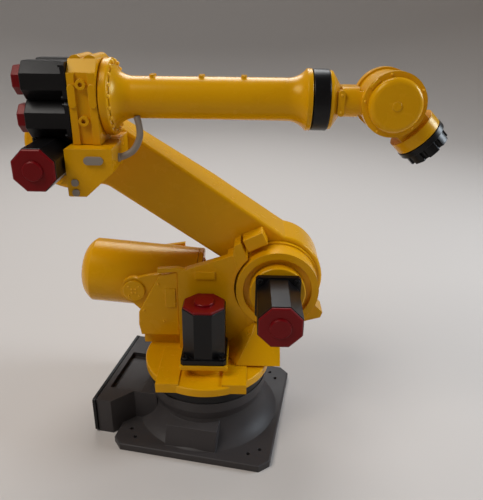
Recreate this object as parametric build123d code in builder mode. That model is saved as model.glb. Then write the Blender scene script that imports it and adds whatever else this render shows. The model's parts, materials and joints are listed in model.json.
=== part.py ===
from build123d import *
import math
import os

# Desk model of a six-axis factory robot, about one tenth of the real machine.
# Millimetres, +Z up. Origin: on the turning axis of the base, at table height.
# The arm works in the XZ plane: +X is forward, and -Y is the side with the motors.
# The base stands turned under the arm, as the model was left on its table.

os.makedirs("parts", exist_ok=True)

# Running gap between two bodies, and the small gap between two pieces of one body
run_gap = 0.35
seat_gap = 0.15

# Base
base_turn = -10.56
plate_long, plate_wide, plate_thick = 71.4, 72.4, 3.2
plate_corner = 4.2
hub_foot_r, hub_waist_r, hub_top_r = 33.4, 26.0, 27.4
hub_top = 24.0
inner_bolts_r, outer_bolts_r, bolt_pair_angle, bolt_hole_r = 39.3, 40.1, 4.08, 0.85
wing_long, wing_foot, wing_crown, wing_back, wing_height = 23.0, 32.6, 29.4, 19.5, 12.0
tail_rear, tail_half, tail_height = 45.6, 27.0, 18.0
tail_well_long, tail_well_wide, tail_well_deep = 15.0, 29.0, 2.5
panel_thick = 1.4
plug_r, plug_long, plug_pitch = 1.9, 2.0, 9.0
bearing_r, bearing_bore, bearing_height = 27.0, 18.0, 5.0

# Swing table, the round deck that turns on the bearing
table_r, table_thick = 28.9, 3.7
table_low = hub_top + bearing_height + run_gap
table_top = table_low + table_thick
foot_reach, foot_rise = 26.4, 0.8
feet_x = [(-20.7, -10.8), (8.0, 18.6)]

# Turret walls, seen from the motor side, and where each stands across the machine
wall_face, wall_thick = 2.0, 4.0
wall_rear, wall_front = -13.3, 9.0
deck_top = 38.6
deck_rear, deck_front, deck_far = -31.0, 31.0, 41.6
face_rise, pad_rise = 0.5, 0.7
nose_front, nose_top, nose_side = 33.8, 45.5, -3.0
cover_face, cover_thick = 3.4, 1.6
bracket_thick = 2.4

# Shoulder, the axis that carries the lower arm
shoulder_x, shoulder_z = 31.7, 66.2
drum_face, drum_r, drum_rim = -0.6, 18.6, 19.3
groove_r, groove_depth, boss_r, boss_rise = 15.4, 2.6, 12.5, 2.6
arm_near, arm_thick = 12.0, 22.0
drum_back = arm_near - run_gap
rear_horn = [
    (shoulder_x + along, shoulder_z + above)
    for along, above in ((-20.0, 15.8), (-19.6, 20.4), (-16.9, 22.2), (-13.1, 13.4))
]
front_horn = [
    (shoulder_x + along, shoulder_z + above)
    for along, above in ((17.6, -8.0), (21.3, -11.6), (20.5, -14.3))
]

# Lower arm, drawn along its own line from shoulder to elbow
elbow_x, elbow_z = -58.8, 127.6
arm_end_r, arm_top_half, arm_low_half = 21.4, 19.4, 6.2
elbow_end_r = 19.4
arm_waist_fillet = 9.0
arm_edge = 1.6
taper_start, taper_end, taper_depth = 50.0, 98.0, 7.0
stop_angle, stop_radius, stop_long, stop_high, stop_deep = 115.5, 20.9, 9.6, 6.2, 8.4

# Balancer, a spring cylinder held between the rear brackets
pin_radius, pin_r, pin_gap = 11.0, 2.2, 0.3
trunnion_x, trunnion_z, trunnion_r = -34.0, 62.3, 3.4
balancer_r, balancer_back, balancer_front = 15.3, 26.5, 27.5
balancer_dome = 4.5
fork_slot = 7.6
rod_r, rod_eye_r, rod_eye_thick, rod_long = 2.5, 5.0, 6.4, 46.0
nose_bore_r = 5.4

# Upper arm
forearm_z = 149.7
tube_r, tube_flange_r = 7.9, 12.2
flange_ring_r, flange_thick = 14.5, 3.6
tube_end, tube_rim_r = 41.0, 11.6
ring_long, ring_r = 6.2, 11.5
casing_rear, casing_front = -48.4, -37.9
casing_near, casing_far = -13.0, 11.6
casing_low, casing_top = 133.9, 164.2
crest_r, crest_rise = 2.6, 1.3
ribs_x, rib_wide, rib_rise = (-48.3, -40.8), 2.8, 0.9
casing_boss_x, casing_boss_r = -43.4, 1.9
box_rear, box_front, box_slope_rear, box_slope_front = -50.2, -32.5, -43.4, -37.1
box_deep, box_front_deep = 18.5, 8.9
box_near, box_back = -20.0, -4.0
elbow_hub_r, elbow_seat_r, hub_face = 12.5, 7.5, 0.4

# Wrist
wrist_x = 71.2
neck_r, neck_side, cone_long, cone_small = 5.6, 9.0, 4.6, 5.7
neck_pad_face = 9.5
ear_r, ear_face, ear_thick = 12.0, 10.2, 3.4
cover_r, cover_rise, cover_mark_r = 10.0, 3.4, 1.7
hand_tilt = 45.0
hand_half = ear_face - ear_thick - run_gap
hand_block, trunk_r, trunk_start, trunk_end = 13.0, 9.6, 14.0, 18.8
tool_r, tool_thick, tool_step_r, tool_step = 9.8, 2.2, 8.6, 4.4

# Motors: flange square, body and cap across their flats, cap depth, and the cap's round boss
big_motor = dict(square=19.9, flange=2.4, across=18.5, cap_across=17.8, cap=1.0, boss=4.4)
mid_motor = dict(square=15.8, flange=2.2, across=15.8, cap_across=15.3, cap=1.0, boss=3.6)
small_motor = dict(square=13.8, flange=1.6, across=13.8, cap_across=10.4, cap=3.6, boss=2.6)
motor_boss_rise = 1.1
turning_motor_x, turning_motor_y = -0.4, -10.6
motor_plate_low, motor_plate_thick, motor_plate_size = 37.4, 2.0, 21.2
turning_motor_long, shoulder_motor_long, elbow_motor_long = 25.8, 27.6, 25.2
rear_motor_long, shoulder_motor_drop = 20.4, 0.7
rear_motors = {"one": (-7.2, 156.4), "two": (7.6, 156.4), "three": (-7.2, 142.5)}

# Cable
cable_r = 1.3


def beside(y):
    """upright plane along the machine at y, drawn in x and z, facing the motor side"""
    return Plane.XZ.offset(-y)


def across(x):
    """upright plane across the machine at x, drawn in y and z, facing forward"""
    return Plane.YZ.offset(x)


def level(z, x=0, y=0):
    """flat plane at height z with its centre at x, y"""
    return Plane(origin=(x, y, z))


def on_base(height):
    """flat plane at a height of the base, turned with the base"""
    return Plane(origin=(0, 0, height), x_dir=Vector(1, 0, 0).rotate(Axis.Z, base_turn))


def outline(points):
    """closed face through the points, inside a sketch"""
    Polygon(*points, align=None)


def write(builder, name):
    """label a finished piece and write its file"""
    builder.part.label = name
    export_step(builder.part, f"parts/{name}.step")


# Base casting: plate, bell-shaped hub, two side wings and the cable tail in one piece
with BuildPart() as base_casting:
    with BuildSketch(on_base(0)):
        Rectangle(plate_long, plate_wide)
    extrude(amount=plate_thick)
    chamfer(edges().filter_by(Axis.Z), plate_corner)
    fillet(faces().sort_by(Axis.Z)[-1].edges(), 0.7)
    with BuildSketch(Plane.XZ):
        with BuildLine():
            Polyline((0, 0), (hub_foot_r, 0), (hub_foot_r, plate_thick))
            ThreePointArc((hub_foot_r, plate_thick), (28.6, 7.4), (hub_waist_r, 15.0))
            Polyline((hub_waist_r, 15.0), (hub_top_r, 19.5), (hub_top_r, hub_top), (0, hub_top), (0, 0))
        make_face()
    revolve(axis=Axis.Z)
    across_base = Plane(
        origin=Vector(-wing_long / 2, 0, 0).rotate(Axis.Z, base_turn),
        x_dir=Vector(0, 1, 0).rotate(Axis.Z, base_turn),
        z_dir=Vector(1, 0, 0).rotate(Axis.Z, base_turn),
    )
    with BuildSketch(across_base):
        for side in (-1, 1):
            outline([
                (side * wing_back, 0),
                (side * wing_foot, 0),
                (side * wing_foot, plate_thick),
                (side * wing_crown, wing_height),
                (side * wing_back, wing_height + 2.6),
            ])
    extrude(amount=wing_long)
    with BuildSketch(on_base(0)):
        outline([
            (-tail_rear, -tail_half),
            (-tail_rear + 7.0, -tail_half),
            (-tail_rear + 14.6, -tail_half + 9.4),
            (-20.0, -tail_half + 9.4),
            (-20.0, tail_half - 9.4),
            (-tail_rear + 14.6, tail_half - 9.4),
            (-tail_rear + 7.0, tail_half),
            (-tail_rear, tail_half),
        ])
    extrude(amount=tail_height)
    with BuildSketch(on_base(tail_height)):
        with Locations((-tail_rear + 2.6 + tail_well_long / 2, -2.5)):
            Rectangle(tail_well_long, tail_well_wide)
    extrude(amount=-tail_well_deep, mode=Mode.SUBTRACT)
    with BuildSketch(on_base(0)):
        with PolarLocations(inner_bolts_r, 4, start_angle=45 - bolt_pair_angle):
            Circle(bolt_hole_r)
        with PolarLocations(outer_bolts_r, 4, start_angle=45 + bolt_pair_angle):
            Circle(bolt_hole_r)
    extrude(amount=plate_thick, mode=Mode.SUBTRACT)
write(base_casting, "base_casting")

# Rear panel of the tail, with its row of sockets
with BuildPart() as connector_panel:
    panel_plane = Plane(
        origin=Vector(-tail_rear - seat_gap, 0, tail_height / 2 + 0.4).rotate(Axis.Z, base_turn),
        x_dir=Vector(0, -1, 0).rotate(Axis.Z, base_turn),
        z_dir=Vector(-1, 0, 0).rotate(Axis.Z, base_turn),
    )
    with BuildSketch(panel_plane):
        RectangleRounded(2 * tail_half + 1.6, tail_height - 0.2, 1.2)
    extrude(amount=panel_thick)
    with BuildSketch(panel_plane.offset(panel_thick)):
        with GridLocations(plug_pitch, 7.4, 5, 2):
            Circle(plug_r)
    extrude(amount=plug_long, taper=6)
write(connector_panel, "connector_panel")

# Black bearing ring between base and swing table
with BuildPart() as bearing_ring:
    with BuildSketch(level(hub_top)):
        Circle(bearing_r)
        Circle(bearing_bore, mode=Mode.SUBTRACT)
    extrude(amount=bearing_height)
    chamfer(edges().filter_by(GeomType.CIRCLE).group_by(Axis.Z)[-1].sort_by(SortBy.RADIUS)[-1], 0.8)
write(bearing_ring, "bearing_ring")

# Swing table with two square feet that stand out on the motor side
with BuildPart() as swing_table:
    with BuildSketch(level(table_low)):
        Circle(table_r)
    extrude(amount=table_thick)
    fillet(edges().group_by(Axis.Z)[-1], 0.6)
    with BuildSketch(level(table_low)):
        for left, right in feet_x:
            outline([(left, 0), (left, -foot_reach), (right, -foot_reach), (right, 0)])
    extrude(amount=table_thick + foot_rise)
write(swing_table, "swing_table")

# Turret: deck, near wall, shoulder pedestal, front nose and motor boss
with BuildPart() as turret_casting:
    with BuildSketch(level(table_top)):
        outline([
            (deck_rear, 7.0), (wall_rear, 7.0), (wall_rear, wall_face), (deck_front, wall_face),
            (deck_front, 12.0), (18.0, 30.0), (-8.0, deck_far), (deck_rear, deck_far),
        ])
    extrude(amount=deck_top - table_top)
    with BuildSketch(beside(wall_face)):
        outline([
            (wall_rear, deck_top - 3), (wall_rear, deck_top + 34.6), *rear_horn,
            (rear_horn[-1][0], 60.0), (wall_front + 12, deck_top - 3),
        ])
    extrude(amount=-wall_thick)
    with BuildSketch(beside(wall_face)):
        outline([
            (wall_front, deck_top - 3), (wall_front, deck_top + 42.4), *rear_horn,
            (shoulder_x, shoulder_z), *front_horn, (nose_front + 4.2, nose_top + 2.1),
            (nose_front, nose_top), (nose_front, deck_top - 3),
        ])
    extrude(amount=-(drum_back - wall_face))
    with BuildSketch(beside(wall_face)):
        outline([
            *rear_horn, (shoulder_x, shoulder_z), *front_horn, (nose_front + 4.2, nose_top + 2.1),
            (nose_front, nose_top), (19.0, nose_top), (16.2, 58.0), (15.0, 70.0),
        ])
    extrude(amount=face_rise)
    with BuildSketch(beside(wall_face)):
        with Locations((-0.9, 72.2)):
            Rectangle(9.0, 3.6)
    extrude(amount=pad_rise)
    with BuildSketch(beside(wall_face + 0.6)):
        outline([
            (wall_rear - 9.1, deck_top + 33.8), (wall_rear - 0.3, deck_top + 34.7),
            (wall_rear + 4.3, deck_top + 34.7), (wall_rear + 4.3, deck_top + 35.6),
            (wall_rear - 0.3, deck_top + 36.6), (wall_rear - 9.1, deck_top + 35.8),
        ])
    extrude(amount=-(cover_face + cover_thick - wall_face - 0.6))
    with BuildSketch(beside(nose_side)):
        outline([
            (16.0, table_top + foot_rise + seat_gap), (19.0, nose_top), (nose_front, nose_top),
            (nose_front, table_top + foot_rise + seat_gap),
        ])
    extrude(amount=nose_side - wall_face - 1)
    with BuildSketch(level(table_top, turning_motor_x, turning_motor_y)):
        Circle(8.4)
        with Locations((0, 8.4)):
            Rectangle(16.8, 16.8)
    extrude(amount=motor_plate_low - seat_gap - table_top)
    with BuildSketch(beside(drum_face - 1)):
        with Locations((shoulder_x, shoulder_z)):
            Circle(drum_rim + seat_gap)
    extrude(amount=-(drum_back - drum_face + 2), mode=Mode.SUBTRACT)
write(turret_casting, "turret_casting")

# Shoulder drum: grooved face, back rim and the boss that the motor sits on
with BuildPart() as shoulder_drum:
    with BuildSketch(beside(drum_face)):
        with Locations((shoulder_x, shoulder_z)):
            Circle(drum_r)
    extrude(amount=-(drum_back - drum_face))
    with BuildSketch(beside(drum_back - 2.2)):
        with Locations((shoulder_x, shoulder_z)):
            Circle(drum_rim)
    extrude(amount=-2.2)
    with BuildSketch(beside(drum_face)):
        with Locations((shoulder_x, shoulder_z)):
            Circle(groove_r)
            Circle(boss_r, mode=Mode.SUBTRACT)
    extrude(amount=-groove_depth, mode=Mode.SUBTRACT)
    fillet(edges().filter_by(GeomType.CIRCLE).sort_by(SortBy.RADIUS).sort_by(Axis.Y)[:1], 0.5)
    with BuildSketch(beside(drum_face)):
        with Locations((shoulder_x, shoulder_z)):
            Circle(boss_r)
    extrude(amount=boss_rise)
    chamfer(edges().filter_by(GeomType.CIRCLE).sort_by(Axis.Y)[0], 0.4)
write(shoulder_drum, "shoulder_drum")

# Screwed cover over the rear of the near wall
with BuildPart() as wall_cover:
    with BuildSketch(beside(cover_face)):
        outline([
            (wall_rear - 9.0, deck_top + 31.6), (wall_rear - seat_gap, deck_top + 34.4),
            (wall_rear - seat_gap, deck_top + 0.8), (wall_rear - 18.3, deck_top + 0.8),
            (wall_rear - 19.3, deck_top + 6.4), (wall_rear - 18.9, deck_top + 13.0),
        ])
    extrude(amount=-cover_thick)
    chamfer(faces().sort_by(Axis.Y)[0].edges(), 0.35)
    with BuildSketch(beside(cover_face)):
        with Locations((wall_rear - 3.7, deck_top + 21.0)):
            Rectangle(4.6, 9.4)
    extrude(amount=0.5)
write(wall_cover, "wall_cover")

# Rear brackets that hold the balancer's trunnions, and their round caps
bracket_near_face = cover_face + cover_thick + seat_gap
balancer_mid = bracket_near_face + bracket_thick + 0.4 + balancer_r
for name, face, facing in (
    ("near", bracket_near_face, 1),
    ("far", 2 * balancer_mid - bracket_near_face, -1),
):
    with BuildPart() as bracket:
        with BuildSketch(beside(face)):
            outline([
                (trunnion_x + 6.0, trunnion_z + 7.4), (wall_rear - 0.7, deck_top + 33.4),
                (wall_rear - 0.7, deck_top + seat_gap), (deck_rear + 0.2, deck_top + seat_gap),
                (trunnion_x + 2.6, trunnion_z - 10.3), (trunnion_x - 3.6, trunnion_z - 4.1),
                (trunnion_x + 0.6, trunnion_z + 5.7),
            ])
            with Locations((trunnion_x, trunnion_z)):
                Circle(6.4)
                Circle(trunnion_r + run_gap, mode=Mode.SUBTRACT)
        extrude(amount=-facing * bracket_thick)
    write(bracket, f"{name}_bracket")
    with BuildPart() as trunnion_cap:
        with BuildSketch(beside(face + facing * -seat_gap)):
            with Locations((trunnion_x, trunnion_z)):
                Circle(5.2)
        extrude(amount=facing * 1.0)
        chamfer(edges().filter_by(GeomType.CIRCLE).sort_by(Axis.Y)[0 if facing > 0 else -1], 0.3)
    write(trunnion_cap, f"{name}_trunnion_cap")


def motor(name, plane, square, flange, across, cap_across, cap, boss, long):
    """servo motor: square flange, eight-sided body and red cap, built outward from a plane"""
    body_end = long - cap
    with BuildPart() as body:
        with BuildSketch(plane):
            Rectangle(square, square)
            chamfer(vertices(), 1.1)
        extrude(amount=flange)
        with BuildSketch(plane.offset(flange)):
            RegularPolygon(across / 2, 8, major_radius=False, rotation=22.5)
        extrude(amount=body_end - flange)
        chamfer(faces().sort_by(Axis(plane.origin, plane.z_dir))[-1].edges(), 0.25)
    write(body, name)
    with BuildPart() as red_cap:
        with BuildSketch(plane.offset(body_end)):
            RegularPolygon(cap_across / 2, 8, major_radius=False, rotation=22.5)
        extrude(amount=cap)
        chamfer(faces().sort_by(Axis(plane.origin, plane.z_dir))[-1].edges(), 0.4)
        with BuildSketch(plane.offset(long)):
            Circle(boss)
        extrude(amount=motor_boss_rise)
        chamfer(faces().sort_by(Axis(plane.origin, plane.z_dir))[-1].edges(), 0.3)
    write(red_cap, f"{name}_cap")


# Turning motor on its square plate
with BuildPart() as turning_motor_plate:
    with BuildSketch(level(motor_plate_low, turning_motor_x, turning_motor_y)):
        RectangleRounded(motor_plate_size, motor_plate_size, 1.2)
    extrude(amount=motor_plate_thick)
write(turning_motor_plate, "turning_motor_plate")
turning_seat = level(motor_plate_low + motor_plate_thick, turning_motor_x, turning_motor_y)
motor("turning_motor", turning_seat, long=turning_motor_long, **big_motor)

# Shoulder motor on the drum's boss
shoulder_seat = Plane(
    origin=(shoulder_x, drum_face - boss_rise, shoulder_z - shoulder_motor_drop),
    x_dir=(1, 0, 0),
    z_dir=(0, -1, 0),
)
motor("shoulder_motor", shoulder_seat, long=shoulder_motor_long, **big_motor)

# Lower arm, drawn on a plane whose x runs from shoulder to elbow
arm_line = Vector(elbow_x - shoulder_x, 0, elbow_z - shoulder_z)
arm_long = arm_line.length
arm_angle = math.degrees(math.atan2(arm_line.Z, arm_line.X))


def along_arm(y):
    """upright plane at y with its origin on the shoulder and its x towards the elbow"""
    return Plane(origin=(shoulder_x, y, shoulder_z), x_dir=arm_line, z_dir=(0, -1, 0))


pin_x = shoulder_x + pin_radius * math.cos(math.radians(arm_angle + 90))
pin_z = shoulder_z + pin_radius * math.sin(math.radians(arm_angle + 90))
fork_floor = pin_radius - rod_eye_r - run_gap
arm_far = arm_near + arm_thick
elbow_far = arm_far - taper_depth
with BuildPart() as lower_arm:
    with BuildSketch(along_arm(arm_near)):
        Circle(arm_end_r)
        with Locations((arm_long, 0)):
            Circle(elbow_end_r)
        outline([(0, -arm_top_half), (arm_long, -arm_top_half), (arm_long, arm_low_half), (0, arm_low_half)])
        waist = [corner for corner in vertices() if abs(corner.Y - arm_low_half) < 0.01]
        fillet(waist, arm_waist_fillet)
    extrude(amount=-arm_thick)
    fillet(faces().sort_by(Axis.Y)[0].edges(), arm_edge)
    with BuildSketch(along_arm(balancer_mid - fork_slot / 2)):
        outline([
            (-arm_end_r - 1, fork_floor), (18.0, fork_floor), (30.0, fork_floor + 5),
            (30.0, 30.0), (-arm_end_r - 1, 30.0),
        ])
    extrude(amount=-fork_slot, mode=Mode.SUBTRACT)
    above_arm = Plane(origin=(shoulder_x, 0, shoulder_z), x_dir=arm_line, z_dir=(-arm_line.Z, 0, arm_line.X))
    with BuildSketch(above_arm):
        outline([
            (taper_start, arm_far), (taper_end, elbow_far), (arm_long + 2 * elbow_end_r, elbow_far),
            (arm_long + 2 * elbow_end_r, arm_far + 1), (taper_start, arm_far + 1),
        ])
    extrude(amount=2 * arm_end_r, both=True, mode=Mode.SUBTRACT)
write(lower_arm, "lower_arm")

# Stop block on the arm's near face, which meets the horns of the turret
with BuildPart() as stop_block:
    stop_plane = Plane(
        origin=(
            shoulder_x + stop_radius * math.cos(math.radians(stop_angle)),
            arm_near - seat_gap,
            shoulder_z + stop_radius * math.sin(math.radians(stop_angle)),
        ),
        x_dir=Vector(1, 0, 0).rotate(Axis((0, 0, 0), (0, -1, 0)), stop_angle - 90),
        z_dir=(0, -1, 0),
    )
    with BuildSketch(stop_plane):
        with Locations((0, stop_high / 2)):
            Rectangle(stop_long, stop_high)
    extrude(amount=stop_deep)
    fillet(edges(), 0.5)
write(stop_block, "stop_block")

# Round covers on the far side of the arm's two ends
for name, along, radius, face in (
    ("shoulder_cover", 0, 15.0, arm_far),
    ("elbow_cover", arm_long, 12.5, elbow_far),
):
    with BuildPart() as end_cover:
        with BuildSketch(along_arm(face + seat_gap)):
            with Locations((along, 0)):
                Circle(radius)
        extrude(amount=-1.8)
        fillet(edges().filter_by(GeomType.CIRCLE).sort_by(Axis.Y)[-1], 0.8)
    write(end_cover, name)

# Pin across the fork, which the balancer's rod pulls on
with BuildPart() as rod_pin:
    with BuildSketch(beside(balancer_mid - fork_slot / 2 + seat_gap)):
        with Locations((pin_x, pin_z)):
            Circle(pin_r)
    extrude(amount=-(fork_slot - 2 * seat_gap))
write(rod_pin, "rod_pin")

# Balancer: spring cylinder on trunnions, drawn on its own line towards the pin
balancer_line = Vector(pin_x - trunnion_x, 0, pin_z - trunnion_z)
balancer_plane = Plane(origin=(trunnion_x, balancer_mid, trunnion_z), x_dir=balancer_line, z_dir=(0, -1, 0))
balancer_axis = Axis((trunnion_x, balancer_mid, trunnion_z), balancer_line)
with BuildPart() as balancer_cylinder:
    with BuildSketch(balancer_plane):
        with BuildLine():
            Polyline(
                (-balancer_back, 0), (balancer_front, 0), (balancer_front, balancer_r),
                (-balancer_back + balancer_dome, balancer_r),
            )
            ThreePointArc(
                (-balancer_back + balancer_dome, balancer_r),
                (-balancer_back + 0.8, balancer_r - 3.6),
                (-balancer_back - 0.9, balancer_r - 8.0),
            )
            Line((-balancer_back - 0.9, balancer_r - 8.0), (-balancer_back, 0))
        make_face()
    revolve(axis=balancer_axis)
    with BuildSketch(beside(balancer_mid)):
        with Locations((trunnion_x, trunnion_z)):
            Circle(trunnion_r)
    extrude(amount=balancer_r + bracket_thick, both=True)
    bore_plane = Plane(origin=balancer_plane.from_local_coords((balancer_front, 0, 0)), z_dir=balancer_line)
    with BuildSketch(bore_plane):
        Circle(nose_bore_r)
    extrude(amount=-26, mode=Mode.SUBTRACT)
write(balancer_cylinder, "balancer_cylinder")

# Screwed end ring of the balancer
with BuildPart() as balancer_ring:
    with BuildSketch(bore_plane.offset(seat_gap)):
        Circle(balancer_r)
        Circle(nose_bore_r, mode=Mode.SUBTRACT)
    extrude(amount=2.4)
    chamfer(edges().filter_by(GeomType.CIRCLE).sort_by(SortBy.RADIUS)[-1], 0.5)
write(balancer_ring, "balancer_ring")

# Rod with its eye round the pin
with BuildPart() as balancer_rod:
    with BuildSketch(beside(balancer_mid - rod_eye_thick / 2)):
        with Locations((pin_x, pin_z)):
            Circle(rod_eye_r)
            Circle(pin_r + pin_gap, mode=Mode.SUBTRACT)
    extrude(amount=-rod_eye_thick)
    rod_plane = Plane(origin=(pin_x, balancer_mid, pin_z), z_dir=balancer_line * -1)
    with BuildSketch(rod_plane.offset(pin_r + 1.2)):
        Circle(rod_r)
    extrude(amount=rod_long - pin_r - 1.2)
write(balancer_rod, "balancer_rod")

# Elbow casing: ribbed block behind the forearm, with the elbow hub beside the lower arm
with BuildPart() as elbow_casing:
    with BuildSketch(across(casing_rear)):
        outline([
            (casing_near, casing_low), (casing_near, casing_top - 4.5), (casing_near + 3.6, casing_top),
            (casing_far - 3.6, casing_top), (casing_far, casing_top - 4.5), (casing_far, casing_low),
        ])
    extrude(amount=casing_front - casing_rear)
    with BuildSketch(beside(box_back + seat_gap)):
        with Locations((elbow_x, elbow_z)):
            Circle(elbow_seat_r)
    extrude(amount=-(casing_far - box_back - seat_gap))
    with BuildSketch(beside(hub_face)):
        with Locations((elbow_x, elbow_z)):
            Circle(elbow_hub_r)
    extrude(amount=-(casing_far - hub_face))
    with BuildSketch(beside(box_back + seat_gap)):
        outline([
            (elbow_x, elbow_z - elbow_hub_r), (box_slope_rear - 0.6, casing_low - box_deep + 1.6),
            (box_front - 1.0, casing_low - box_front_deep + 1.0), (box_front - 1.0, casing_low),
            (casing_front, casing_low), (casing_front, casing_low + 4), (casing_rear, casing_low + 4),
            (casing_rear, elbow_z),
        ])
    extrude(amount=-(casing_far - box_back - seat_gap))
    with BuildSketch(beside(casing_near + 3.6)):
        for crest_x in (casing_rear + crest_r, casing_front - crest_r):
            with Locations((crest_x, casing_top - crest_r + crest_rise)):
                Circle(crest_r)
    extrude(amount=-(casing_far - casing_near - 7.2))
    with BuildSketch(beside(casing_near)):
        for left in ribs_x:
            outline([
                (left, casing_low), (left, casing_top - 4.5), (left + rib_wide, casing_top - 4.5),
                (left + rib_wide, casing_low),
            ])
    extrude(amount=rib_rise)
    with BuildSketch(beside(casing_near - rib_rise)):
        for left in ribs_x:
            with Locations((left + rib_wide / 2, casing_top - 12.7)):
                SlotOverall(8.4, rib_wide, rotation=90)
    extrude(amount=0.6)
    with BuildSketch(beside(casing_near)):
        with Locations((casing_boss_x, casing_top - 8.6), (casing_boss_x, casing_low + 8.7)):
            Circle(casing_boss_r)
            Circle(0.8, mode=Mode.SUBTRACT)
    extrude(amount=1.5)
write(elbow_casing, "elbow_casing")

# Bolted round flange between casing and forearm, with a flat where it passes the lower arm
with BuildPart() as forearm_flange:
    with BuildSketch(across(casing_front + seat_gap)):
        with Locations((0, forearm_z)):
            Circle(flange_ring_r)
        with Locations((casing_far + flange_ring_r, forearm_z)):
            Rectangle(2 * flange_ring_r, 2 * flange_ring_r, mode=Mode.SUBTRACT)
    extrude(amount=flange_thick)
    fillet(edges().filter_by(GeomType.CIRCLE), 0.9)
write(forearm_flange, "forearm_flange")

# Cable box under the casing, with a sloped underside
with BuildPart() as cable_box:
    with BuildSketch(beside(box_near)):
        outline([
            (box_rear, casing_low - 0.2), (box_front, casing_low - 0.2),
            (box_front, casing_low - box_front_deep), (box_slope_front, casing_low - box_front_deep - 4.0),
            (box_slope_rear, casing_low - box_deep), (box_rear, casing_low - box_deep),
        ])
    extrude(amount=-(box_back - box_near))
    fillet(edges().filter_by(Axis.Y), 0.6)
write(cable_box, "cable_box")
with BuildPart() as box_plate:
    with BuildSketch(beside(box_near)):
        with Locations((box_front - 7.0, casing_low - 4.5)):
            SlotOverall(7.2, 3.0)
    extrude(amount=0.8)
write(box_plate, "box_plate")
with BuildPart() as box_pads:
    with BuildSketch(beside(box_near)):
        with Locations((box_rear + 3.0, casing_low - 13.0), (box_rear + 3.0, casing_low - 16.9)):
            RectangleRounded(2.6, 2.6, 1.0)
    extrude(amount=0.6)
write(box_pads, "box_pads")

# Elbow motor in line with the elbow axis
elbow_seat = Plane(origin=(elbow_x, box_back, elbow_z), x_dir=(1, 0, 0), z_dir=(0, -1, 0))
motor("elbow_motor", elbow_seat, long=elbow_motor_long, **mid_motor)

# Three wrist motors at the back of the casing
for count, (motor_y, motor_z) in rear_motors.items():
    seat = Plane(origin=(casing_rear - seat_gap, motor_y, motor_z), x_dir=(0, -1, 0), z_dir=(-1, 0, 0))
    motor(f"wrist_motor_{count}", seat, long=rear_motor_long, **small_motor)

# Forearm tube, flared at both ends
tube_start = casing_front + seat_gap + flange_thick + seat_gap
with BuildPart() as forearm_tube:
    with BuildSketch(Plane(origin=(0, 0, forearm_z), x_dir=(1, 0, 0), z_dir=(0, -1, 0))):
        with BuildLine():
            Polyline((tube_start, 0), (tube_start, tube_flange_r))
            ThreePointArc(
                (tube_start, tube_flange_r), (tube_start + 2.4, tube_r + 1.5), (tube_start + 7.0, tube_r)
            )
            Line((tube_start + 7.0, tube_r), (32.0, tube_r + 0.2))
            ThreePointArc((32.0, tube_r + 0.2), (36.4, tube_r + 1.3), (39.2, tube_rim_r))
            Polyline((39.2, tube_rim_r), (tube_end, tube_rim_r), (tube_end, 0), (tube_start, 0))
        make_face()
    revolve(axis=Axis((0, 0, forearm_z), (1, 0, 0)))
    with BuildSketch(level(forearm_z + tube_r - 0.8)):
        for boss_x in (-19.4, -0.7, 15.4):
            with Locations((boss_x, -1.6), (boss_x, 1.6)):
                Circle(1.1)
    extrude(amount=1.6)
write(forearm_tube, "forearm_tube")

# Grey signal cable, from under the forearm down to the cable box
cable_points = [
    (-25.6, -4.9, 143.0), (-23.8, -6.9, 138.2), (-25.2, -8.6, 132.8), (-28.4, -9.6, 129.4),
    (-32.1, -10.0, 128.4),
]


def corner_radii(points):
    """arc radius at each inner point, from its shorter run and its turn"""
    radii = []
    for before, here, after in zip(points, points[1:], points[2:]):
        run_in, run_out = Vector(here) - Vector(before), Vector(after) - Vector(here)
        half_turn = math.radians(run_in.get_angle(run_out) / 2)
        radii.append(0.45 * min(run_in.length, run_out.length) / math.tan(half_turn))
    return radii


cable_radii = corner_radii(cable_points)
print("cable radii", [round(radius, 1) for radius in cable_radii])
with BuildPart() as signal_cable:
    with BuildLine() as cable_route:
        FilletPolyline(*cable_points, radius=cable_radii)
    cable_path = cable_route.wires()[0]
    with BuildSketch(Plane(origin=cable_path @ 0, z_dir=cable_path % 0)):
        Circle(cable_r)
    sweep(path=cable_path)
cable_fill = signal_cable.part.volume / (math.pi * cable_r**2 * cable_path.length)
print("cable length", round(cable_path.length, 1), "volume over section times length", round(cable_fill, 3))
write(signal_cable, "signal_cable")

# Black ring that rolls on the end of the forearm
ring_start = tube_end + run_gap
with BuildPart() as wrist_ring:
    with BuildSketch(across(ring_start)):
        with Locations((0, forearm_z)):
            Circle(ring_r)
    extrude(amount=ring_long)
    fillet(edges().filter_by(GeomType.CIRCLE), 0.4)
write(wrist_ring, "wrist_ring")

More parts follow.
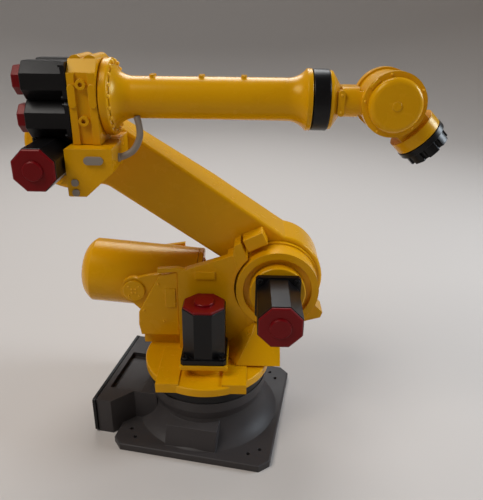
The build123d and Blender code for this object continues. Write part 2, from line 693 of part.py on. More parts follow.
# Wrist yoke: cone, neck and two round ears
yoke_start = ring_start + ring_long + seat_gap
crotch_x = wrist_x - ear_r - 1.5
with BuildPart() as wrist_yoke:
    with BuildSketch(Plane(origin=(0, 0, forearm_z), x_dir=(1, 0, 0), z_dir=(0, -1, 0))):
        outline([
            (yoke_start, 0), (yoke_start, ring_r - 0.4), (yoke_start + 1.2, ring_r - 0.6),
            (yoke_start + cone_long, cone_small), (crotch_x, neck_r), (crotch_x, 0),
        ])
    revolve(axis=Axis((0, 0, forearm_z), (1, 0, 0)))
    with BuildSketch(across(yoke_start + cone_long)):
        with Locations((0, forearm_z)):
            SlotOverall(2 * neck_side, 2 * neck_r)
    extrude(amount=wrist_x - ear_r + 3 - yoke_start - cone_long)
    with BuildSketch(beside(-(ear_face - ear_thick))):
        with Locations((wrist_x, forearm_z)):
            Circle(wrist_x - crotch_x)
    extrude(amount=-2 * (ear_face - ear_thick), mode=Mode.SUBTRACT)
    with BuildSketch(beside(-neck_pad_face)):
        with Locations((yoke_start + cone_long - 0.6, forearm_z)):
            SlotOverall(9.4, 2.6, rotation=90)
    extrude(amount=-neck_pad_face)
    for side in (-1, 1):
        inner = side * (ear_face - ear_thick)
        with BuildSketch(beside(inner)):
            with Locations((wrist_x, forearm_z)):
                Circle(ear_r)
        extrude(amount=-side * ear_thick)
write(wrist_yoke, "wrist_yoke")
for name, side in (("near", -1), ("far", 1)):
    with BuildPart() as wrist_cover:
        with BuildSketch(beside(side * (ear_face + seat_gap))):
            with Locations((wrist_x, forearm_z)):
                Circle(cover_r)
        extrude(amount=-side * cover_rise)
        fillet(edges().filter_by(GeomType.CIRCLE).sort_by(Axis.Y)[0 if side < 0 else -1], 2.2)
        with BuildSketch(beside(side * (ear_face + seat_gap + cover_rise))):
            with Locations((wrist_x, forearm_z)):
                Circle(cover_mark_r)
        extrude(amount=-side * 0.3)
    write(wrist_cover, f"{name}_wrist_cover")

# Hand between the ears, with a round trunk towards the tool flange
hand_line = Vector(1, 0, 0).rotate(Axis((0, 0, 0), (0, 1, 0)), hand_tilt)
hand_plane = Plane(origin=(wrist_x, 0, forearm_z), x_dir=(0, 1, 0), z_dir=hand_line)
with BuildPart() as hand_casting:
    with BuildSketch(beside(-hand_half)):
        with Locations((wrist_x, forearm_z)):
            Circle(ear_r - 0.8)
    extrude(amount=-2 * hand_half)
    with BuildSketch(hand_plane):
        Rectangle(2 * hand_half, hand_block)
    extrude(amount=trunk_start)
    with BuildSketch(hand_plane.offset(trunk_start)):
        Circle(trunk_r)
    extrude(amount=trunk_end - trunk_start)
write(hand_casting, "hand_casting")

# Tool flange with its ring of screw pockets and four edge notches
with BuildPart() as tool_flange:
    with BuildSketch(hand_plane.offset(trunk_end + run_gap)):
        Circle(tool_r)
    extrude(amount=tool_thick)
    with BuildSketch(hand_plane.offset(trunk_end + run_gap + tool_thick)):
        Circle(tool_step_r)
        with PolarLocations(tool_step_r, 8, start_angle=22.5):
            Circle(1.1, mode=Mode.SUBTRACT)
    extrude(amount=tool_step)
    tool_face = hand_plane.offset(trunk_end + run_gap + tool_thick + tool_step)
    with BuildSketch(tool_face):
        Circle(4.0)
    extrude(amount=-1.6, mode=Mode.SUBTRACT)
    with BuildSketch(tool_face):
        with PolarLocations(6.3, 6):
            Circle(0.7)
    extrude(amount=-2.4, mode=Mode.SUBTRACT)
write(tool_flange, "tool_flange")
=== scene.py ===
import json
import math
import bpy
from mathutils import Matrix, Vector


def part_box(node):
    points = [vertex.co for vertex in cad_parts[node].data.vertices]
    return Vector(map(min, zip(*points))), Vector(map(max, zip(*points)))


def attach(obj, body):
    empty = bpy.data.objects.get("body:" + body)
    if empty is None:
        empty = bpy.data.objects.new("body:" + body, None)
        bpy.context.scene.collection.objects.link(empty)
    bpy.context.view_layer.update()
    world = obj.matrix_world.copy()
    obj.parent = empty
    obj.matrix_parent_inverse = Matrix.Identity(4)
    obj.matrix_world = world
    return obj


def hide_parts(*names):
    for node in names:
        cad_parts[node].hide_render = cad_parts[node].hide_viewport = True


# Desk model of a six-axis factory robot: finishes, fasteners, signal cable, studio and camera.
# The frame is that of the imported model, in metres: +X forward, -Y the motor side, +Z up.
# Sizes and places of pieces are in mm. Those of finishes, sweep and lamps are in metres.

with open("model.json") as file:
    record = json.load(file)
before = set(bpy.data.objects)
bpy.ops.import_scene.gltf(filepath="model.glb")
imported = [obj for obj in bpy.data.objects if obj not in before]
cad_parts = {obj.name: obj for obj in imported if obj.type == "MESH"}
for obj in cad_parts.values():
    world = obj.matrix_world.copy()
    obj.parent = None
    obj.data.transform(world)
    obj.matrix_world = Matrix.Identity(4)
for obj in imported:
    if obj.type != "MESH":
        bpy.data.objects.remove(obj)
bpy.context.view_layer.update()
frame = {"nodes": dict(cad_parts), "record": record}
nodes = frame["nodes"]
mm = 0.001
print("frame loaded", len(nodes), "nodes")

# Camera, worked out from the photograph's perspective. Angles are in degrees.
camera = {
    "place": (17.51, -212.68, 179.13),  # mm from the base axis at table height
    "heading": -0.58,  # from straight along +Y
    "down": 23.69,
    "roll": 0.84,
    "focalPixels": 534.0,
    "longSidePixels": 500.0,
    "sensor": 36.0,
    "nearest": 10.0,  # mm, nothing closer to the lens is drawn
}


def makeCamera():
    heading, down, roll = (math.radians(camera[key]) for key in ("heading", "down", "roll"))
    ahead = Vector((math.sin(heading), math.cos(heading), 0.0)) * math.cos(down)
    ahead.z = -math.sin(down)
    right = Vector((math.cos(heading), -math.sin(heading), 0.0))
    up = right.cross(ahead)
    tiltedRight = right * math.cos(roll) + up * math.sin(roll)
    tiltedUp = up * math.cos(roll) - right * math.sin(roll)
    turn = Matrix((tiltedRight, tiltedUp, -ahead)).transposed()
    lens = bpy.data.cameras.new("photoCamera")
    lens.sensor_width = camera["sensor"]
    lens.lens = camera["focalPixels"] / camera["longSidePixels"] * camera["sensor"]
    lens.clip_start = camera["nearest"] * mm
    holder = bpy.data.objects.new("photoCamera", lens)
    holder.matrix_world = Matrix.Translation(Vector(camera["place"]) * mm) @ turn.to_4x4()
    bpy.context.scene.collection.objects.link(holder)
    bpy.context.scene.camera = holder


makeCamera()
print("camera placed")

# Selection
upward = 0.9  # a face whose normal has more z than this belongs to the top of a piece
level = 0.99  # and with more than this it is the flat of the top, without its rounded edge
smoothBelow = 35.0  # degrees, a sharper edge stays sharp


def deselectAll():
    if bpy.context.object is not None and bpy.context.object.mode != "OBJECT":
        bpy.ops.object.mode_set(mode="OBJECT")
    bpy.ops.object.select_all(action="DESELECT")


def pickTop(piece, leastZ):  # leaves the piece in edit mode with only its upward faces selected
    bpy.ops.object.mode_set(mode="EDIT")
    bpy.ops.mesh.select_mode(type="FACE")
    bpy.ops.mesh.select_all(action="DESELECT")
    bpy.ops.object.mode_set(mode="OBJECT")
    for face in piece.data.polygons:
        face.select = face.normal.z > leastZ
    bpy.ops.object.mode_set(mode="EDIT")


# Placing, all in mm and degrees
def boxSide(nodeName, look):  # middle of the side of a node's box that looks that way
    low, high = (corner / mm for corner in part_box(nodeName))
    middle = (low + high) / 2
    for axis in range(3):
        if look[axis] > 0:
            middle[axis] = high[axis]
        elif look[axis] < 0:
            middle[axis] = low[axis]
    return middle


def boxHeight(nodeName):
    low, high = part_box(nodeName)
    return (high.z - low.z) / mm


def standing(point, out):  # a frame at point whose z looks along out
    turn = Vector(out).to_track_quat("Z", "Y").to_matrix().to_4x4()
    return Matrix.Translation(Vector(point) * mm) @ turn


def ringOf(centre, out, radius, angles):  # frames on a circle around out
    middle = standing((0, 0, 0), out)
    places = []
    for angle in angles:
        turned = math.radians(angle)
        arm = middle @ Vector((radius * math.cos(turned), radius * math.sin(turned), 0.0))
        places.append(standing(Vector(centre) + arm, out))
    return places


def evenly(count, first):
    return [first + 360.0 * step / count for step in range(count)]


def directionAt(angle):  # the direction at that angle in the XZ plane, from +X towards +Z
    turned = math.radians(angle)
    return Vector((math.cos(turned), 0.0, math.sin(turned)))


squareCorners = evenly(4, 45.0)


def copyOut(master, name, places, body, slotName, skin=None):  # one joined piece from many copies
    deselectAll()
    copies = []
    for place in places:
        twin = master.copy()
        twin.data = master.data.copy()
        twin.data.transform(place)
        bpy.context.scene.collection.objects.link(twin)
        twin.select_set(True)
        copies.append(twin)
    bpy.context.view_layer.objects.active = copies[0]
    if len(copies) > 1:
        bpy.ops.object.join()
    dress(bpy.context.object, name, body, skin or skins[slotName])


def dress(piece, name, body, skin):
    piece.name = name
    piece.data.name = name
    piece.data.materials.clear()
    piece.data.materials.append(skin)
    deselectAll()
    piece.select_set(True)
    bpy.context.view_layer.objects.active = piece
    bpy.ops.object.shade_smooth_by_angle(angle=math.radians(smoothBelow))
    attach(piece, body)
    deselectAll()


def discard(master):
    bpy.data.objects.remove(master)


# Materials: moulded plastics, fine grain, softened edges, and paler edges that are part wear, part
# painted highlight.
# Mottle and grain are patches per metre, grain height and edge radius are metres.
finishes = {
    "yellow_plastic": {
        "colour": (0.78, 0.380, 0.002), "shade": (0.68, 0.320, 0.001), "edgeWearAndHighlight": (0.94, 0.58, 0.05),
        "mottle": 38.0, "roughLow": 0.20, "roughHigh": 0.32, "grain": 2600.0, "grainHeight": 0.000012,
        "edgeRadius": 0.00042, "coat": 0.05, "ior": 1.41, "glint": (1.0, 0.84, 0.3), "scatter": 0.05,
    },
    "dark_grey_plastic": {
        "colour": (0.047, 0.041, 0.041), "shade": (0.036, 0.031, 0.031),
        "edgeWearAndHighlight": (0.095, 0.088, 0.088),
        "mottle": 30.0, "roughLow": 0.42, "roughHigh": 0.58, "grain": 1800.0, "grainHeight": 0.000028,
        "edgeRadius": 0.0004, "coat": 0.0, "ior": 1.38, "glint": (1.0, 1.0, 1.0), "scatter": 0.0,
    },
    "black_plastic": {
        "colour": (0.0055, 0.005, 0.0055), "shade": (0.0035, 0.003, 0.0035),
        "edgeWearAndHighlight": (0.03, 0.03, 0.034),
        "mottle": 45.0, "roughLow": 0.27, "roughHigh": 0.38, "grain": 2200.0, "grainHeight": 0.000018,
        "edgeRadius": 0.0003, "coat": 0.0, "ior": 1.33, "glint": (1.0, 1.0, 1.0), "scatter": 0.0,
    },
    "red_plastic": {
        "colour": (0.18, 0.002, 0.005), "shade": (0.14, 0.0015, 0.0035),
        "edgeWearAndHighlight": (0.40, 0.02, 0.025),
        "mottle": 60.0, "roughLow": 0.26, "roughHigh": 0.38, "grain": 2400.0, "grainHeight": 0.000012,
        "edgeRadius": 0.0003, "coat": 0.0, "ior": 1.38, "glint": (1.0, 0.55, 0.5), "scatter": 0.0,
    },
    "grey_rubber": {
        "colour": (0.30, 0.255, 0.21), "shade": (0.24, 0.205, 0.17), "edgeWearAndHighlight": (0.40, 0.36, 0.32),
        "mottle": 120.0, "roughLow": 0.42, "roughHigh": 0.55, "grain": 3000.0, "grainHeight": 0.00001,
        "edgeRadius": 0.0002, "coat": 0.0, "ior": 1.45, "glint": (1.0, 1.0, 1.0), "scatter": 0.0,
    },
}
# What the plastics and the rubber share
moulding = {
    "mottleDetail": 4.0, "mottleRoughness": 0.6,
    "grainDetail": 2.0, "grainRoughness": 0.5,
    "smudgeFiner": 4.0, "smudgeDetail": 3.0, "smudgeWarp": 0.6,
    "bevelSamples": 4,
    "wornAndLitBelow": 0.86,  # agreement of the two normals at which an edge is palest, from wear and painted highlight
    "wornAndLitMost": 0.55,
    "bumpStrength": 0.6,
    "coatRoughness": 0.12,
    "scatterReach": (0.0012, 0.0006, 0.0002),
}
# Small pips are painted paler all over, a painted highlight, and are too small for a wide soft edge
pipHighlightLook = {"colour": (0.92, 0.50, 0.03), "shade": (0.86, 0.44, 0.02), "edgeRadius": 0.00005}
steelLook = {
    "colour": (0.62, 0.61, 0.60), "roughLow": 0.16, "roughHigh": 0.30, "scratch": 900.0,
    "scratchDetail": 3.0,
}


def newMaterial(name):
    material = bpy.data.materials.new(name)
    material.use_nodes = True
    return material, material.node_tree.nodes["Principled BSDF"]


def addNode(tree, kind, **values):
    node = tree.nodes.new(kind)
    for key, value in values.items():
        if hasattr(node, key):
            setattr(node, key, value)
        else:
            node.inputs[key].default_value = value
    return node


def varyRoughness(tree, noise, look, shader):
    rough = addNode(tree, "ShaderNodeMapRange", clamp=True)
    rough.inputs["To Min"].default_value = look["roughLow"]
    rough.inputs["To Max"].default_value = look["roughHigh"]
    tree.links.new(noise.outputs["Fac"], rough.inputs["Value"])
    tree.links.new(rough.outputs["Result"], shader.inputs["Roughness"])


# Mask of the paler edges: partly handling wear, partly a painted highlight on rounded edges
def wearAndHighlightOf(tree, soften, smudge):  # strong where the softened normal leaves the true one
    join = tree.links.new
    surface = addNode(tree, "ShaderNodeNewGeometry")
    agree = addNode(tree, "ShaderNodeVectorMath", operation="DOT_PRODUCT")
    join(soften.outputs["Normal"], agree.inputs[0])
    join(surface.outputs["Normal"], agree.inputs[1])
    edge = addNode(tree, "ShaderNodeMapRange", clamp=True)
    edge.inputs["From Min"].default_value = 1.0
    edge.inputs["From Max"].default_value = moulding["wornAndLitBelow"]
    edge.inputs["To Min"].default_value = 0.0
    edge.inputs["To Max"].default_value = moulding["wornAndLitMost"]
    join(agree.outputs["Value"], edge.inputs["Value"])
    rubbedAndLitEdge = addNode(tree, "ShaderNodeMath", operation="MULTIPLY")
    join(edge.outputs["Result"], rubbedAndLitEdge.inputs[0])
    join(smudge.outputs["Fac"], rubbedAndLitEdge.inputs[1])
    return rubbedAndLitEdge


def plasticMaterial(name, look):
    material, shader = newMaterial(name + "_finish")
    tree = material.node_tree
    join = tree.links.new
    shader.inputs["IOR"].default_value = look["ior"]
    shader.inputs["Specular Tint"].default_value = (*look["glint"], 1.0)
    shader.inputs["Coat Weight"].default_value = look["coat"]
    shader.inputs["Coat Roughness"].default_value = moulding["coatRoughness"]
    if look["scatter"]:
        shader.inputs["Subsurface Weight"].default_value = look["scatter"]
        shader.inputs["Subsurface Radius"].default_value = moulding["scatterReach"]
    place = addNode(tree, "ShaderNodeTexCoord")
    mottle = addNode(
        tree, "ShaderNodeTexNoise",
        Scale=look["mottle"], Detail=moulding["mottleDetail"], Roughness=moulding["mottleRoughness"],
    )
    grain = addNode(
        tree, "ShaderNodeTexNoise",
        Scale=look["grain"], Detail=moulding["grainDetail"], Roughness=moulding["grainRoughness"],
    )
    smudge = addNode(
        tree, "ShaderNodeTexNoise",
        Scale=look["mottle"] * moulding["smudgeFiner"], Detail=moulding["smudgeDetail"],
        Distortion=moulding["smudgeWarp"],
    )
    for noise in (mottle, grain, smudge):
        join(place.outputs["Object"], noise.inputs["Vector"])
    tone = addNode(tree, "ShaderNodeMix", data_type="RGBA")
    tone.inputs["A"].default_value = (*look["colour"], 1.0)
    tone.inputs["B"].default_value = (*look["shade"], 1.0)
    join(mottle.outputs["Fac"], tone.inputs["Factor"])
    soften = addNode(
        tree, "ShaderNodeBevel", samples=moulding["bevelSamples"], Radius=look["edgeRadius"]
    )
    # Edges mixed towards a paler tint: partly wear, partly a painted highlight
    wornAndLitEdge = addNode(tree, "ShaderNodeMix", data_type="RGBA")
    wornAndLitEdge.inputs["B"].default_value = (*look["edgeWearAndHighlight"], 1.0)
    join(wearAndHighlightOf(tree, soften, smudge).outputs["Value"], wornAndLitEdge.inputs["Factor"])
    join(tone.outputs["Result"], wornAndLitEdge.inputs["A"])
    join(wornAndLitEdge.outputs["Result"], shader.inputs["Base Color"])
    varyRoughness(tree, smudge, look, shader)
    bump = addNode(
        tree, "ShaderNodeBump", Strength=moulding["bumpStrength"], Distance=look["grainHeight"]
    )
    join(grain.outputs["Fac"], bump.inputs["Height"])
    join(soften.outputs["Normal"], bump.inputs["Normal"])
    join(bump.outputs["Normal"], shader.inputs["Normal"])
    return material


def steelMaterial():
    material, shader = newMaterial("bright_steel_finish")
    tree = material.node_tree
    shader.inputs["Metallic"].default_value = 1.0
    shader.inputs["Base Color"].default_value = (*steelLook["colour"], 1.0)
    place = addNode(tree, "ShaderNodeTexCoord")
    scratch = addNode(
        tree, "ShaderNodeTexNoise", Scale=steelLook["scratch"], Detail=steelLook["scratchDetail"]
    )
    tree.links.new(place.outputs["Object"], scratch.inputs["Vector"])
    varyRoughness(tree, scratch, steelLook, shader)
    return material


skins = {slotName: plasticMaterial(slotName, look) for slotName, look in finishes.items()}
skins["bright_steel"] = steelMaterial()
# The pips' finish is the yellow one painted paler: a painted highlight
pipHighlightSkin = plasticMaterial("yellow_dots_painted_highlight", {**finishes["yellow_plastic"], **pipHighlightLook})
for row in frame["record"]["subparts"]:
    node = nodes[row["node"]]
    for index in range(len(node.material_slots)):
        node.material_slots[index].material = skins[row["material_slot"]]
print("finishes applied")

# Signal cable from under the forearm to the cable box, one smooth bend, and the collar at its end
cable = {
    "route": [
        (-25.6, -4.9, 143.0), (-23.8, -6.9, 138.2), (-25.2, -8.6, 132.8), (-28.4, -9.6, 129.4),
        (-32.1, -10.0, 128.4),
    ],
    "radius": 1.3, "order": 3, "stepsAlong": 16, "stepsAround": 6,
}
cableCollar = {"radius": 1.7, "depth": 0.7, "edge": 0.25, "sides": 32}


def makeCable():
    line = bpy.data.curves.new("signalCable", "CURVE")
    line.dimensions = "3D"
    spline = line.splines.new("NURBS")
    spline.points.add(len(cable["route"]) - 1)
    for point, place in zip(spline.points, cable["route"]):
        point.co = (*(Vector(place) * mm), 1.0)
    spline.order_u = cable["order"]
    spline.use_endpoint_u = True
    spline.resolution_u = cable["stepsAlong"]
    line.bevel_depth = cable["radius"] * mm
    line.bevel_resolution = cable["stepsAround"]
    line.use_fill_caps = True
    piece = bpy.data.objects.new("signalCable", line)
    bpy.context.scene.collection.objects.link(piece)
    line.materials.append(skins["grey_rubber"])
    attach(piece, "upper_arm")
    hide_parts("signal_cable")


def makeCableCollar():
    deselectAll()
    bpy.ops.mesh.primitive_cylinder_add(
        vertices=cableCollar["sides"], radius=cableCollar["radius"] * mm,
        depth=cableCollar["depth"] * mm,
    )
    collar = bpy.context.object
    pickTop(collar, upward)
    bpy.ops.mesh.bevel(offset=cableCollar["edge"] * mm, segments=3, affect="EDGES")
    deselectAll()
    place = Vector(cable["route"][-1])
    place.x = boxSide("cable_box", (1, 0, 0)).x + cableCollar["depth"] / 2
    copyOut(collar, "cableCollar", [standing(place, (1, 0, 0))], "upper_arm", "grey_rubber")
    discard(collar)


makeCable()
makeCableCollar()
print("cable laid")

# Small heads: a round cap with a socket, and a low dome. Edge and socket are shares of the radius.
capShape = {"sides": 24, "edge": 0.12, "socket": 0.5}
domeShape = {"sides": 20, "rings": 12}


def socketHead(screw):
    radius, height = screw["radius"], screw["height"]
    deselectAll()
    bpy.ops.mesh.primitive_cylinder_add(
        vertices=capShape["sides"], radius=radius * mm, depth=height * mm,
        location=(0, 0, height / 2 * mm),
    )
    head = bpy.context.object
    bpy.ops.object.transform_apply(location=True)
    pickTop(head, upward)
    bpy.ops.mesh.bevel(offset=capShape["edge"] * radius * mm, segments=2, affect="EDGES")
    pickTop(head, level)
    bpy.ops.mesh.inset(thickness=(1 - capShape["edge"] - capShape["socket"]) * radius * mm)
    bpy.ops.mesh.extrude_region_move(TRANSFORM_OT_translate={"value": (0, 0, -screw["depth"] * mm)})
    deselectAll()
    return head


def domeHead(pip):
    radius, rise = pip["radius"], pip["rise"]
    deselectAll()
    bpy.ops.mesh.primitive_uv_sphere_add(
        segments=domeShape["sides"], ring_count=domeShape["rings"], radius=radius * mm
    )
    head = bpy.context.object
    bpy.ops.object.mode_set(mode="EDIT")
    bpy.ops.mesh.bisect(plane_co=(0, 0, 0), plane_no=(0, 0, 1), clear_inner=True, use_fill=True)
    bpy.ops.mesh.select_all(action="SELECT")
    bpy.ops.transform.resize(value=(1, 1, rise / radius), center_override=(0, 0, 0))
    deselectAll()
    return head


# Four screws in the corners of each motor's flange
motors = {
    "turning_motor": {"body": "turret", "out": (0, 0, 1), "size": "big"},
    "shoulder_motor": {"body": "turret", "out": (0, -1, 0), "size": "big"},
    "elbow_motor": {"body": "upper_arm", "out": (0, -1, 0), "size": "mid"},
    "wrist_motor_one": {"body": "upper_arm", "out": (-1, 0, 0), "size": "small"},
    "wrist_motor_two": {"body": "upper_arm", "out": (-1, 0, 0), "size": "small"},
    "wrist_motor_three": {"body": "upper_arm", "out": (-1, 0, 0), "size": "small"},
}
motorScrews = {
    "big": {"flange": 2.4, "corner": 8.0, "radius": 1.35, "height": 0.9, "depth": 0.5},
    "mid": {"flange": 2.2, "corner": 6.5, "radius": 0.8, "height": 0.9, "depth": 0.5},
    "small": {"flange": 1.6, "corner": 5.65, "radius": 0.7, "height": 0.9, "depth": 0.5},
}


def addMotorScrews():
    for nodeName, motor in motors.items():
        screw = motorScrews[motor["size"]]
        head = socketHead(screw)
        out = Vector(motor["out"])
        face = boxSide(nodeName, -out) + out * screw["flange"]
        places = ringOf(face, out, screw["corner"] * math.sqrt(2), squareCorners)
        copyOut(head, nodeName + "_screws", places, motor["body"], "black_plastic")
        discard(head)


addMotorScrews()
print("motor screws done")

# The turret's front foot flares out over the swing table, with a raked face and a turned corner
noseFlare = {
    "low": (9.0, -12.5, 34.0),  # the block that it is cut from
    "high": (33.7, 2.4, 49.6),
    "folds": ((1.9, 49.6), (-3.1, 45.5), (-12.5, 34.0)),  # y and z down the raked face
    "corner": ((9.1, 1.9, 36.5), (22.4, 1.9, 49.6), (13.7, -12.5, 34.0)),  # points of its plane
    "edge": 0.35,
}


def cutAway(point, normal):  # drops what lies on the normal's side of the plane and closes the cut
    bpy.ops.mesh.select_all(action="SELECT")
    bpy.ops.mesh.bisect(
        plane_co=Vector(point) * mm, plane_no=Vector(normal).normalized(),
        clear_outer=True, use_fill=True,
    )


def addNoseFlare():
    deselectAll()
    low, high = Vector(noseFlare["low"]), Vector(noseFlare["high"])
    bpy.ops.mesh.primitive_cube_add(size=1.0, location=(low + high) / 2 * mm)
    block = bpy.context.object
    block.scale = (high - low) * mm
    bpy.ops.object.transform_apply(location=True, scale=True)
    bpy.ops.object.mode_set(mode="EDIT")
    folds = noseFlare["folds"]
    for (innerY, innerZ), (outerY, outerZ) in zip(folds[:-1], folds[1:]):
        cutAway((0, outerY, outerZ), (0, outerZ - innerZ, innerY - outerY))
    crease, top, toe = (Vector(point) for point in noseFlare["corner"])
    rearward = (toe - crease).cross(top - crease)
    if rearward.x > 0:
        rearward.negate()
    cutAway(crease, rearward)
    bpy.ops.mesh.select_all(action="SELECT")
    bpy.ops.mesh.bevel(offset=noseFlare["edge"] * mm, segments=3, affect="EDGES")
    deselectAll()
    copyOut(block, "noseFlare", [Matrix()], "turret", "yellow_plastic")
    discard(block)


# Ring of domes on the forearm's flange, without those whose y is past farLimit
flangeBolts = {
    "inset": 1.3, "count": 20, "first": 10.0, "radius": 0.85, "rise": 0.95, "farLimit": 10.6,
}


def addFlangeBolts():
    face = boxSide("forearm_flange", (1, 0, 0))
    face.y = 0.0  # the forearm's axis
    reach = boxHeight("forearm_flange") / 2 - flangeBolts["inset"]
    dome = domeHead(flangeBolts)
    ring = ringOf(face, (1, 0, 0), reach, evenly(flangeBolts["count"], flangeBolts["first"]))
    places = [place for place in ring if place.translation.y / mm < flangeBolts["farLimit"]]
    copyOut(dome, "forearmFlangeBolts", places, "upper_arm", "yellow_plastic", pipHighlightSkin)
    discard(dome)


# Pips around each wrist cover, and a lug at its upper rear. They stand on the ear behind the cover.
wristDots = {
    "reach": 11.1, "angles": (102.6, 29.5, -48.0, -120.0, 174.0), "radius": 0.5, "rise": 0.35,
    "seatGap": 0.15,  # between the cover and the ear
}
wristLug = {"angle": 138.0, "reach": 10.9, "long": 4.2, "wide": 1.7, "high": 0.7, "edge": 0.3}


def addWristDots():
    dome = domeHead(wristDots)
    for end, side in (("near", -1), ("far", 1)):
        out = Vector((0, side, 0))
        centre = boxSide(end + "_wrist_cover", -out) - out * wristDots["seatGap"]
        places = [
            standing(centre + directionAt(angle) * wristDots["reach"], out)
            for angle in wristDots["angles"]
        ]
        copyOut(dome, end + "WristDots", places, "wrist", "yellow_plastic", pipHighlightSkin)
        addWristLug(end + "WristLug", centre, out)
    discard(dome)


def addWristLug(name, centre, out):
    deselectAll()
    bpy.ops.mesh.primitive_cube_add(size=1.0)
    lug = bpy.context.object
    sunkHeight = wristLug["high"] * 2  # the lower half is sunk into the ear
    lug.scale = Vector((wristLug["long"], wristLug["wide"], sunkHeight)) * mm
    bpy.ops.object.transform_apply(scale=True)
    bpy.ops.object.mode_set(mode="EDIT")
    bpy.ops.mesh.select_all(action="SELECT")
    bpy.ops.mesh.bevel(offset=wristLug["edge"] * mm, segments=2, affect="EDGES")
    deselectAll()
    reach = directionAt(wristLug["angle"]) * wristLug["reach"]
    tangent = directionAt(wristLug["angle"] + 90)
    turn = Matrix((tangent, out.cross(tangent), out)).transposed().to_4x4()
    place = Matrix.Translation((centre + reach) * mm) @ turn
    copyOut(lug, name, [place], "wrist", "yellow_plastic")
    discard(lug)


# Two pips on the near face of the neck of the wrist yoke, given by x and z
neckDots = {"place": (51.7, 149.7), "apart": 3.1, "face": -9.5, "radius": 0.55, "rise": 0.3}


def addNeckDots():
    dome = domeHead(neckDots)
    x, z = neckDots["place"]
    places = [
        standing((x, neckDots["face"], z + side * neckDots["apart"]), (0, -1, 0)) for side in (-1, 1)
    ]
    copyOut(dome, "neckDots", places, "wrist", "yellow_plastic", pipHighlightSkin)
    discard(dome)


# Pips on the balancer's trunnion caps, an outer and an inner square of them
trunnionDots = {"outer": 3.4, "inner": 1.3, "radius": 0.48, "rise": 0.42}


def addTrunnionDots():
    dome = domeHead(trunnionDots)
    for end, side in (("near", -1), ("far", 1)):
        out = Vector((0, side, 0))
        centre = boxSide(end + "_trunnion_cap", out)
        places = [
            place
            for reach in (trunnionDots["outer"], trunnionDots["inner"])
            for place in ringOf(centre, out, reach, squareCorners)
        ]
        copyOut(dome, end + "TrunnionDots", places, "turret", "yellow_plastic", pipHighlightSkin)
    discard(dome)


# Pips on the face of the wall cover, given by x and z. The cover's raised pad stands over that face.
coverDots = {
    "places": ((-22.5, 66.6), (-29.7, 52.8), (-20.6, 47.1)), "radius": 0.55, "rise": 0.55,
    "padRise": 0.5,
}


def addCoverDots():
    dome = domeHead(coverDots)
    out = Vector((0, -1, 0))
    face = boxSide("wall_cover", out) - out * coverDots["padRise"]
    places = [standing((x, face.y, z), out) for x, z in coverDots["places"]]
    copyOut(dome, "wallCoverDots", places, "turret", "yellow_plastic", pipHighlightSkin)
    discard(dome)


# Screws on the balancer's end ring. Its axis runs from the trunnions to the rod's pin.
springScrews = {
    "trunnion": (-34.0, 23.25, 62.3), "pin": (25.52, 23.25, 57.10),
    "along": 30.05,  # from the trunnions to the ring's face
    "reach": 10.6, "count": 6, "first": 30.0, "radius": 1.1, "height": 0.7, "depth": 0.5,
}


def addSpringScrews():
    trunnion, pin = Vector(springScrews["trunnion"]), Vector(springScrews["pin"])
    line = (pin - trunnion).normalized()
    face = trunnion + line * springScrews["along"]
    head = socketHead(springScrews)
    angles = evenly(springScrews["count"], springScrews["first"])
    places = ringOf(face, line, springScrews["reach"], angles)
    copyOut(head, "springRingScrews", places, "balancer", "yellow_plastic")
    discard(head)


# Screws around the two round covers on the far side of the lower arm
endScrews = {
    "count": 8, "first": 22.5, "inset": 2.0, "radius": 0.75, "height": 0.5, "depth": 0.35,
}


def addEndScrews():
    head = socketHead(endScrews)
    out = Vector((0, 1, 0))
    angles = evenly(endScrews["count"], endScrews["first"])
    for end in ("shoulder", "elbow"):
        nodeName = end + "_cover"
        reach = boxHeight(nodeName) / 2 - endScrews["inset"]
        places = ringOf(boxSide(nodeName, out), out, reach, angles)
        copyOut(head, end + "CoverScrews", places, "lower_arm", "yellow_plastic")
    discard(head)


addNoseFlare()
addFlangeBolts()
addWristDots()
addNeckDots()
addTrunnionDots()
addCoverDots()
addSpringScrews()
addEndScrews()
print("casting details done")

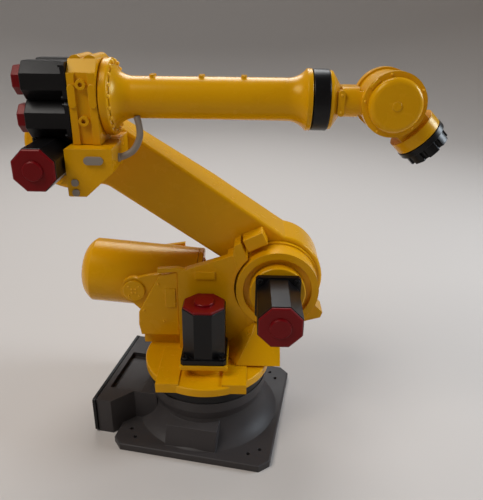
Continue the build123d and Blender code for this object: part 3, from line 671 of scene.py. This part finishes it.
# Studio: a pale round sweep, a soft ceiling light, window light from behind, a cool light from the
# right and a faint even sky. Metres and watts.
studio = {
    "radius": 1.3, "sides": 96, "height": 1.3, "bend": 0.6, "bendSteps": 16,
    "pale": (0.60, 0.56, 0.53), "roughness": 0.85, "sky": (0.95, 0.97, 1.0), "skyStrength": 0.08,
}
lamps = {
    "ceilingLight": {
        "place": (-0.42, -0.26, 0.76), "aim": (0.0, 0.0, 0.08), "size": 0.50, "power": 3.7,
        "tint": (1.0, 0.96, 0.91),
    },
    "windowLight": {
        "place": (-0.04, 0.50, 0.62), "aim": (0.0, 0.0, 0.08), "size": 0.45, "power": 2.8,
        "tint": (0.96, 0.98, 1.0),
    },
    "sideLight": {
        "place": (0.60, 0.05, 0.34), "aim": (0.02, 0.0, 0.10), "size": 0.25, "power": 2.4,
        "tint": (0.80, 0.90, 1.0),
    },
}


def makeSweep():
    deselectAll()
    bpy.ops.mesh.primitive_circle_add(
        vertices=studio["sides"], radius=studio["radius"], fill_type="NGON"
    )
    sweep = bpy.context.object
    sweep.name = "paleSweep"
    bpy.ops.object.mode_set(mode="EDIT")
    bpy.ops.mesh.select_mode(type="EDGE")
    bpy.ops.mesh.select_all(action="SELECT")
    bpy.ops.mesh.extrude_edges_move(TRANSFORM_OT_translate={"value": (0, 0, studio["height"])})
    bpy.ops.object.mode_set(mode="OBJECT")
    for edge in sweep.data.edges:
        heights = [sweep.data.vertices[index].co.z for index in edge.vertices]
        edge.select = max(heights) < studio["height"] / 2
    bpy.ops.object.mode_set(mode="EDIT")
    bpy.ops.mesh.bevel(offset=studio["bend"], segments=studio["bendSteps"], affect="EDGES")
    bpy.ops.mesh.select_all(action="SELECT")
    bpy.ops.mesh.normals_make_consistent(inside=True)
    bpy.ops.object.mode_set(mode="OBJECT")
    bpy.ops.object.shade_smooth()
    material, shader = newMaterial("pale_board")
    shader.inputs["Base Color"].default_value = (*studio["pale"], 1.0)
    shader.inputs["Roughness"].default_value = studio["roughness"]
    sweep.data.materials.append(material)
    deselectAll()


def makeLights():
    for name, lamp in lamps.items():
        light = bpy.data.lights.new(name, "AREA")
        light.shape = "DISK"
        light.size = lamp["size"]
        light.energy = lamp["power"]
        light.color = lamp["tint"]
        holder = bpy.data.objects.new(name, light)
        away = Vector(lamp["place"]) - Vector(lamp["aim"])
        holder.location = lamp["place"]
        holder.rotation_euler = away.to_track_quat("Z", "Y").to_euler()
        holder.visible_camera = False
        bpy.context.scene.collection.objects.link(holder)


def makeSky():
    world = bpy.data.worlds.new("studioSky")
    world.use_nodes = True
    sky = world.node_tree.nodes["Background"]
    sky.inputs["Color"].default_value = (*studio["sky"], 1.0)
    sky.inputs["Strength"].default_value = studio["skyStrength"]
    bpy.context.scene.world = world
    bpy.context.scene.view_settings.view_transform = "Standard"


makeSweep()
makeLights()
makeSky()
print("studio lit")
